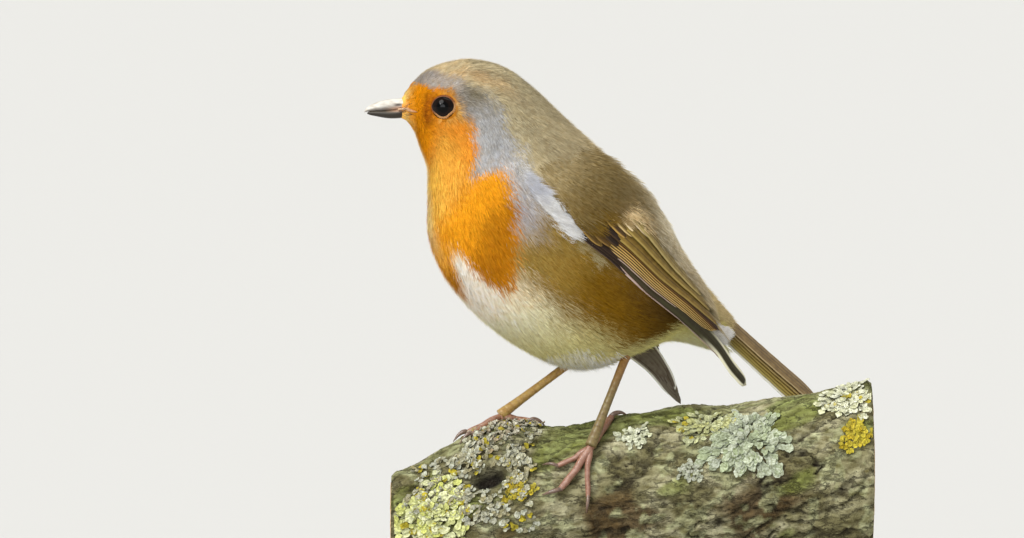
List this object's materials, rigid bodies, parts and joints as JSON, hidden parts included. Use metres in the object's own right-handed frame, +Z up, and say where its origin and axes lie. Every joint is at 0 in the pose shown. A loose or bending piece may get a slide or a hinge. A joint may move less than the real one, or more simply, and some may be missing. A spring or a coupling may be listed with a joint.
{
  "type": "european robin figure on a perch",
  "caption": "Life-size still model of a European robin standing across a short cut branch, held over a flat base by two rods.",
  "frame": {"origin": "centre of the underside of the display base", "axes": "+Z up; -X is the way the bird's head looks; -Y is the side that its left wing and left foot are on"},
  "size_m": [0.1233, 0.066, 0.1495],
  "materials": {
    "feather_orange": "soft orange feathers of the face and breast",
    "feather_olive": "soft olive-brown feathers of the crown, back and rump",
    "feather_flank": "soft buff to cream feathers of the flank and belly",
    "feather_wing": "closed brown flight feathers with ochre edges",
    "feather_tail": "closed brown tail feathers",
    "bill": "horny, satin, pale grey above and dark below",
    "eye": "wet, very dark brown",
    "leg_scales": "smooth scaled skin, pinkish brown",
    "claw": "dark horn",
    "bark": "rough grey-green bark with moss and lichen",
    "base_wood": "dark stained hardwood, satin",
    "rod_brass": "brushed brass"
  },
  "bodies": {
    "root": {"head": "feather_orange", "neck": "feather_olive", "trunk": "feather_flank", "rump": "feather_olive", "bill_upper": "bill", "bill_lower": "bill", "eye_left": "eye", "eye_right": "eye", "tail": "feather_tail", "perch": "bark", "stand_base": "base_wood", "stand_rod_1": "rod_brass", "stand_rod_2": "rod_brass", "wing_left_coverts": "feather_wing", "wing_left_secondaries": "feather_wing", "wing_left_primaries": "feather_wing", "leg_left": "leg_scales", "claw_left_inner": "claw", "claw_left_middle": "claw", "claw_left_outer": "claw", "claw_left_hind": "claw", "wing_right_coverts": "feather_wing", "wing_right_secondaries": "feather_wing", "wing_right_primaries": "feather_wing", "leg_right": "leg_scales", "claw_right_inner": "claw", "claw_right_middle": "claw", "claw_right_outer": "claw", "claw_right_hind": "claw"}
  },
  "joints": []
}
